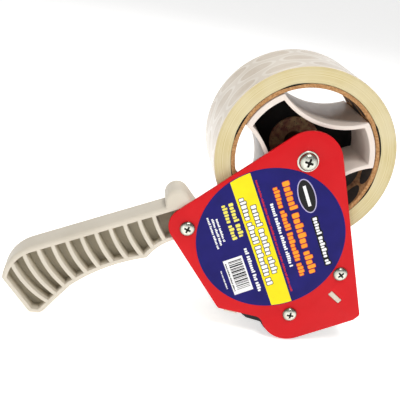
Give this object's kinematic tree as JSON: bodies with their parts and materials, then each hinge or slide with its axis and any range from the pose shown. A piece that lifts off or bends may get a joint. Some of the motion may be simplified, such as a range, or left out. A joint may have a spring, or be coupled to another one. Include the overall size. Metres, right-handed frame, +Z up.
{
  "type": "tape dispenser",
  "caption": "Hand-held packing tape dispenser with a pistol grip, side plate, braked tape hub, guide and press rollers and a toothed cutter.",
  "frame": {"origin": "middle of the bounding box's bottom face, on the surface that the press roller and the handle's tip rest on", "axes": "+X to the cutting nose, +Y from the side plate along the hub to its tension knob, +Z up"},
  "size_m": [0.2038, 0.065, 0.1586],
  "materials": {
    "plate_red": "gloss red enamel on sheet steel",
    "label_print": "gloss printed film label",
    "handle_ivory": "satin moulded ABS",
    "brass_insert": "turned brass",
    "bracket_black": "satin black powder coat",
    "screw_zinc": "bright zinc plate",
    "post_black": "black oxide steel",
    "fibre_brown": "pressed vulcanised fibre",
    "axle_steel": "turned steel",
    "spring_steel": "drawn spring wire",
    "knob_black": "moulded black nylon",
    "hub_ivory": "satin moulded polystyrene",
    "end_plate_black": "matt black enamel",
    "bushing_white": "turned acetal",
    "core_card": "spiral wound kraft board",
    "tape_film": "wound clear polypropylene film",
    "roller_core_white": "moulded polypropylene",
    "roller_rubber": "ground black rubber",
    "guide_nylon": "moulded nylon",
    "blade_steel": "hardened strip steel",
    "rivet_aluminium": "set aluminium rivet",
    "flap_clear": "thin moulded polypropylene"
  },
  "bodies": {
    "frame": {"side_plate": "plate_red", "label": "label_print", "handle": "handle_ivory", "handle_insert": "brass_insert", "nose_bracket": "bracket_black", "plate_screws": "screw_zinc", "bracket_screws": "screw_zinc", "arm_screws": "screw_zinc", "hub_bolt": "screw_zinc", "hub_bolt_washer": "screw_zinc", "hub_post": "post_black", "friction_washer": "fibre_brown", "thrust_washer": "axle_steel", "tension_spring": "spring_steel", "press_roller_axle": "axle_steel", "guide_roller_axle": "axle_steel", "blade_holder": "handle_ivory", "blade": "blade_steel", "blade_rivets": "rivet_aluminium", "flap_pin": "axle_steel", "flap_spring": "spring_steel"},
    "hub": {"hub": "hub_ivory", "hub_end_plate": "end_plate_black", "hub_bushing": "bushing_white"},
    "tape": {"tape_core": "core_card", "tape_roll": "tape_film"},
    "press_roller": {"press_roller_core": "roller_core_white", "press_roller_sleeve": "roller_rubber"},
    "guide_roller": {"guide_roller": "guide_nylon"},
    "knob": {"tension_knob": "knob_black"},
    "flap": {"tape_flap": "flap_clear"}
  },
  "joints": [
    {"name": "hub_spin", "type": "hinge", "parent": "frame", "child": "hub", "pos_m": [0.05054, -0.02874, 0.10915], "axis": [0, 1, 0], "continuous": true},
    {"name": "roll_slide", "type": "slide", "parent": "hub", "child": "tape", "axis": [0, 1, 0], "range_m": [0, 0.055]},
    {"name": "press_roller_spin", "type": "hinge", "parent": "frame", "child": "press_roller", "pos_m": [0.06034, -0.02874, 0.0174], "axis": [0, 1, 0], "continuous": true},
    {"name": "guide_roller_spin", "type": "hinge", "parent": "frame", "child": "guide_roller", "pos_m": [0.08363, -0.02874, 0.04631], "axis": [0, 1, 0], "continuous": true},
    {"name": "knob_turn", "type": "hinge", "parent": "frame", "child": "knob", "pos_m": [0.05054, -0.02874, 0.10915], "axis": [0, 1, 0], "range_deg": [-180, 180]},
    {"name": "flap_tilt", "type": "hinge", "parent": "frame", "child": "flap", "pos_m": [0.09031, -0.02874, 0.0374], "axis": [0, -1, 0], "range_deg": [0, 30], "stiffness_Nm_per_rad": 0.004, "springref_deg": -28.65}
  ]
}
